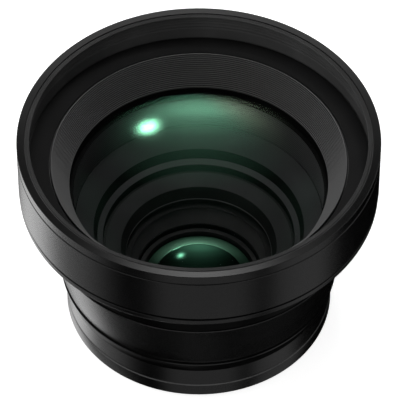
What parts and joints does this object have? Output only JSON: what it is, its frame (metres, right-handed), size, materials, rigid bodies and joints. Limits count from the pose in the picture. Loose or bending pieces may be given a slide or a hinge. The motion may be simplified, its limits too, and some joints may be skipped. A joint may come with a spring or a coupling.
{
  "type": "tele conversion lens",
  "caption": "Stepped black screw-on front lens attachment with a wide ring, a domed coated front glass in a ridged funnel, a tapered barrel and a male rear thread.",
  "frame": {"origin": "centre of the rear thread's end face, on the optical axis", "axes": "+Z along the optical axis towards the subject, out of the wide front ring; the body is turned about Z"},
  "size_m": [0.07, 0.07, 0.0473],
  "materials": {
    "satin_black": "satin black finish on turned aluminium",
    "flat_black": "flat black paint",
    "coated_glass": "optical glass with a green anti-reflection coating",
    "inner_black": "black inside finish on turned aluminium",
    "shim_brass": "plain rolled brass",
    "clear_glass": "clear optical glass",
    "rear_glass": "optical glass with a green coating on its hollow face",
    "black_screw": "blackened steel",
    "magnet_nickel": "bright nickel plate"
  },
  "bodies": {
    "root": {"front_ring": "satin_black", "name_ring": "flat_black", "ridged_baffle": "flat_black", "front_retaining_ring": "flat_black", "front_element": "coated_glass", "front_spacer": "inner_black", "main_barrel": "satin_black", "inner_barrel": "inner_black", "shim_ring": "shim_brass", "stepped_ring": "inner_black", "middle_element": "clear_glass", "stop_ring": "flat_black", "rear_cell": "inner_black", "rear_retaining_ring": "inner_black", "rear_front_element": "rear_glass", "rear_back_element": "clear_glass", "mount_ring": "satin_black", "rear_cover": "flat_black", "front_screws": "black_screw", "cover_screws": "black_screw", "magnets": "magnet_nickel"}
  },
  "joints": []
}
